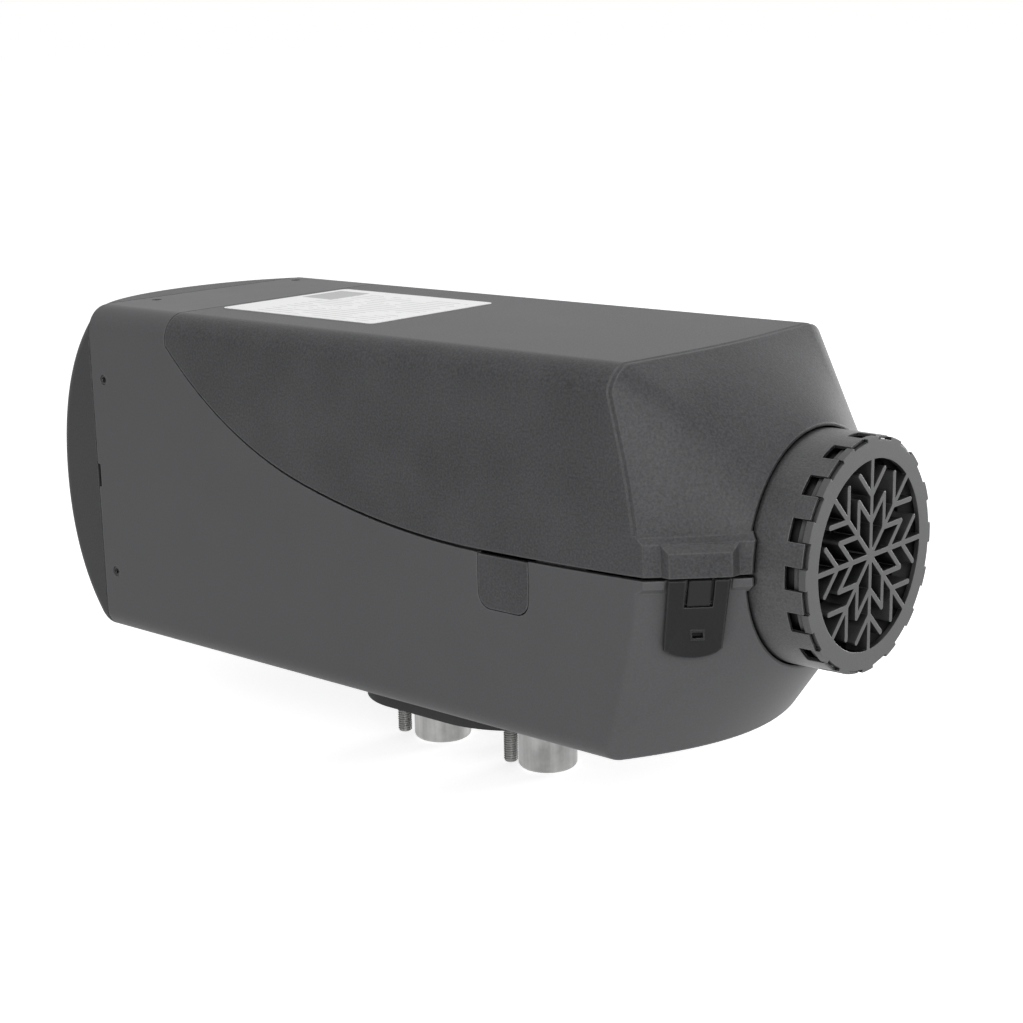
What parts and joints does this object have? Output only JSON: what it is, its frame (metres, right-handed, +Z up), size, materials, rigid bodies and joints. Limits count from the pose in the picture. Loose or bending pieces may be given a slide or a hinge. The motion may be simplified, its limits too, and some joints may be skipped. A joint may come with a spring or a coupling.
{
  "type": "diesel air heater",
  "caption": "Compact diesel air heater with a hinged casing cover, round grilled inlet, duct outlet ring, studded foot and exhaust and air stubs.",
  "frame": {"origin": "centre of the four mounting studs, on the underside of the foot gasket", "axes": "+X along the air flow axis towards the cold-air inlet, +Z up away from the mounting surface, +Y completes the right-handed frame"},
  "size_m": [0.4059, 0.14, 0.1906],
  "materials": {
    "casing": "fine-grained dark grey moulding",
    "inlet_plastic": "fine-grained dark grey moulding",
    "rubber": "matt black",
    "cast_aluminium": "raw casting",
    "zinc_steel": "zinc plated",
    "black_steel": "black oxide",
    "stainless": "stainless",
    "label": "white sticker",
    "fibre": "fibre gasket",
    "motor_steel": "plain steel",
    "magnet": "ferrite",
    "copper": "varnished windings",
    "fan_plastic": "black moulding",
    "board": "green laminate",
    "brass": "plain"
  },
  "bodies": {
    "heater": {"lower_shell": "casing", "outlet_hood": "casing", "hood_screws": "black_steel", "inlet_collar": "inlet_plastic", "base_gasket": "rubber", "mounting_studs": "zinc_steel", "exhaust_stub": "cast_aluminium", "intake_stub": "cast_aluminium", "heat_exchanger": "cast_aluminium", "burner_gasket": "fibre", "burner_tube": "stainless", "evaporator_mesh": "stainless", "glow_plug": "zinc_steel", "glow_plug_boot": "rubber", "fuel_pipe": "stainless", "impeller_cover": "cast_aluminium", "blower_housing": "cast_aluminium", "housing_screws": "black_steel", "motor_can": "motor_steel", "motor_end_cap": "motor_steel", "motor_magnets": "magnet", "motor_bearings": "motor_steel", "motor_screws": "zinc_steel", "ecu_case": "fan_plastic", "ecu_lid": "fan_plastic", "circuit_board": "board", "ecu_connector": "fan_plastic", "ecu_screws": "zinc_steel", "overheat_sensor": "brass", "sensor_clip": "stainless"},
    "cover": {"upper_cover": "casing", "rating_label": "label"},
    "latch_near": {"latch_near": "casing"},
    "latch_far": {"latch_far": "casing"},
    "grille": {"inlet_grille": "inlet_plastic"},
    "plug_near": {"cable_plug_near": "casing"},
    "plug_far": {"cable_plug_far": "casing"},
    "rotor": {"motor_shaft": "motor_steel", "motor_armature": "copper", "combustion_impeller": "fan_plastic", "heating_fan": "fan_plastic", "fan_nut": "zinc_steel"}
  },
  "joints": [
    {"name": "cover_hinge", "type": "hinge", "parent": "heater", "child": "cover", "pos_m": [-0.1331, 0, 0.161], "axis": [0, -1, 0], "range_deg": [0, 50]},
    {"name": "latch_near_bend", "type": "hinge", "parent": "cover", "child": "latch_near", "pos_m": [0.14028, -0.05849, 0.08589], "axis": [-0.7903, -0.6118, -0.033], "range_deg": [0, 12], "stiffness_Nm_per_rad": 0.05},
    {"name": "latch_far_bend", "type": "hinge", "parent": "cover", "child": "latch_far", "pos_m": [0.14028, 0.05849, 0.08589], "axis": [0.7903, -0.6118, 0.033], "range_deg": [0, 12], "stiffness_Nm_per_rad": 0.05},
    {"name": "grille_removal", "type": "slide", "parent": "heater", "child": "grille", "axis": [1, 0, 0], "range_m": [0, 0.03]},
    {"name": "plug_near_removal", "type": "slide", "parent": "heater", "child": "plug_near", "axis": [0, -1, 0], "range_m": [0, 0.012]},
    {"name": "plug_far_removal", "type": "slide", "parent": "heater", "child": "plug_far", "axis": [0, 1, 0], "range_m": [0, 0.012]},
    {"name": "rotor_spin", "type": "hinge", "parent": "heater", "child": "rotor", "pos_m": [0.1, 0, 0.0876], "axis": [1, 0, 0], "continuous": true}
  ]
}
